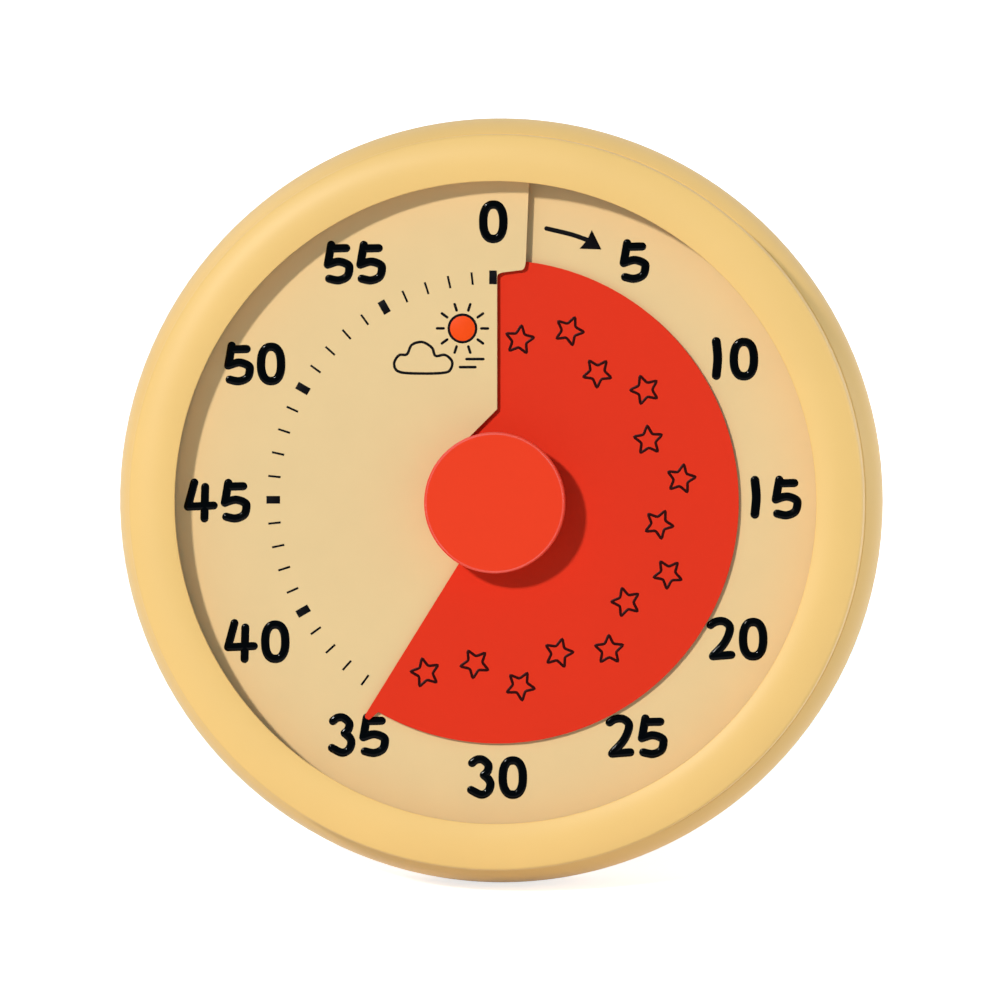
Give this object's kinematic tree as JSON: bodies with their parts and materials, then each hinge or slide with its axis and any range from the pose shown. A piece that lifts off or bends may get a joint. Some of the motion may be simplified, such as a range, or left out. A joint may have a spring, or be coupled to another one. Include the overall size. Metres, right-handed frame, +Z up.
{
  "type": "visual countdown timer",
  "caption": "Round wind-up timer on a fold-out stand, with a red disc that winds out of a slit in its numbered dial as its knob is turned.",
  "frame": {"origin": "middle of the footprint, on the surface that the timer stands on", "axes": "+X to the reader's right, +Y to the back, +Z up; the dial faces -Y and leans back 12 degrees"},
  "size_m": [0.19, 0.0826, 0.187],
  "materials": {
    "case_plastic": "moulded, fine matt",
    "dial_sheet": "matt sheet, printed in black",
    "red_sheet": "matt sheet, printed in dark red",
    "knob_plastic": "moulded, satin",
    "acetal": "moulded, natural white",
    "steel": "turned, bright",
    "spring_steel": "blued strip",
    "brass": "cut and tumbled",
    "bell_steel": "nickel plated",
    "magnet": "sintered, dark grey",
    "rubber": "moulded, matt"
  },
  "bodies": {
    "casing": {"bezel_ring": "case_plastic", "rear_casing": "case_plastic", "casing_screws": "steel", "dial": "dial_sheet", "front_plate": "steel", "rear_plate": "steel", "plate_pillars": "brass", "movement_screws": "steel", "front_bush": "brass", "rear_bush": "brass", "spring_post": "steel", "mainspring": "spring_steel", "bell": "bell_steel", "bell_screw": "steel", "back_magnets": "magnet", "stand_pin": "steel"},
    "knob": {"knob": "knob_plastic", "arbor": "steel", "drive_sleeve": "acetal", "spring_collet": "steel", "great_wheel": "brass", "strike_cam": "brass"},
    "disc": {"red_disc": "red_sheet", "disc_hub": "red_sheet"},
    "second": {"second_pinion": "steel", "second_wheel": "brass"},
    "third": {"third_pinion": "steel", "third_wheel": "brass"},
    "escape": {"escape_pinion": "steel", "escape_wheel": "brass"},
    "pallet": {"pallet_arbor": "steel", "pallet_lever": "steel", "balance": "brass"},
    "hammer": {"hammer_arbor": "steel", "hammer": "steel"},
    "stand": {"stand_leg": "case_plastic", "stand_foot_pad": "rubber"}
  },
  "joints": [
    {"name": "knob_turn", "type": "hinge", "parent": "casing", "child": "knob", "pos_m": [0, -0.01349, 0.09615], "axis": [0, 0.9781, -0.2079], "range_deg": [-211.8, 148.2]},
    {"name": "disc_lift", "type": "slide", "parent": "knob", "child": "disc", "axis": [0, -0.9781, 0.2079], "range_m": [-0.0018, 0.0013]},
    {"name": "second_spin", "type": "hinge", "parent": "casing", "child": "second", "pos_m": [0.01973, -0.01498, 0.08913], "axis": [0, 0.9781, -0.2079], "continuous": true},
    {"name": "third_spin", "type": "hinge", "parent": "casing", "child": "third", "pos_m": [0.02745, -0.01307, 0.09812], "axis": [0, 0.9781, -0.2079], "continuous": true},
    {"name": "escape_spin", "type": "hinge", "parent": "casing", "child": "escape", "pos_m": [0.02334, -0.01072, 0.10915], "axis": [0, 0.9781, -0.2079], "continuous": true},
    {"name": "pallet_rock", "type": "hinge", "parent": "casing", "child": "pallet", "pos_m": [0.01834, -0.00892, 0.11762], "axis": [0, 0.9781, -0.2079], "range_deg": [-6, 6]},
    {"name": "hammer_swing", "type": "hinge", "parent": "casing", "child": "hammer", "pos_m": [-0.012, -0.00912, 0.11669], "axis": [0, 0.9781, -0.2079], "range_deg": [-3, 9], "stiffness_Nm_per_rad": 0.002},
    {"name": "stand_fold", "type": "hinge", "parent": "casing", "child": "stand", "pos_m": [0, 0.01513, 0.11052], "axis": [1, 0, 0], "range_deg": [-24, 0]}
  ],
  "couplings": [
    {"joint": "disc_lift", "follows": "knob_turn", "m_per_rad": 0.00047746},
    {"joint": "second_spin", "follows": "knob_turn", "ratio": -6},
    {"joint": "third_spin", "follows": "knob_turn", "ratio": 30},
    {"joint": "escape_spin", "follows": "knob_turn", "ratio": -150}
  ]
}
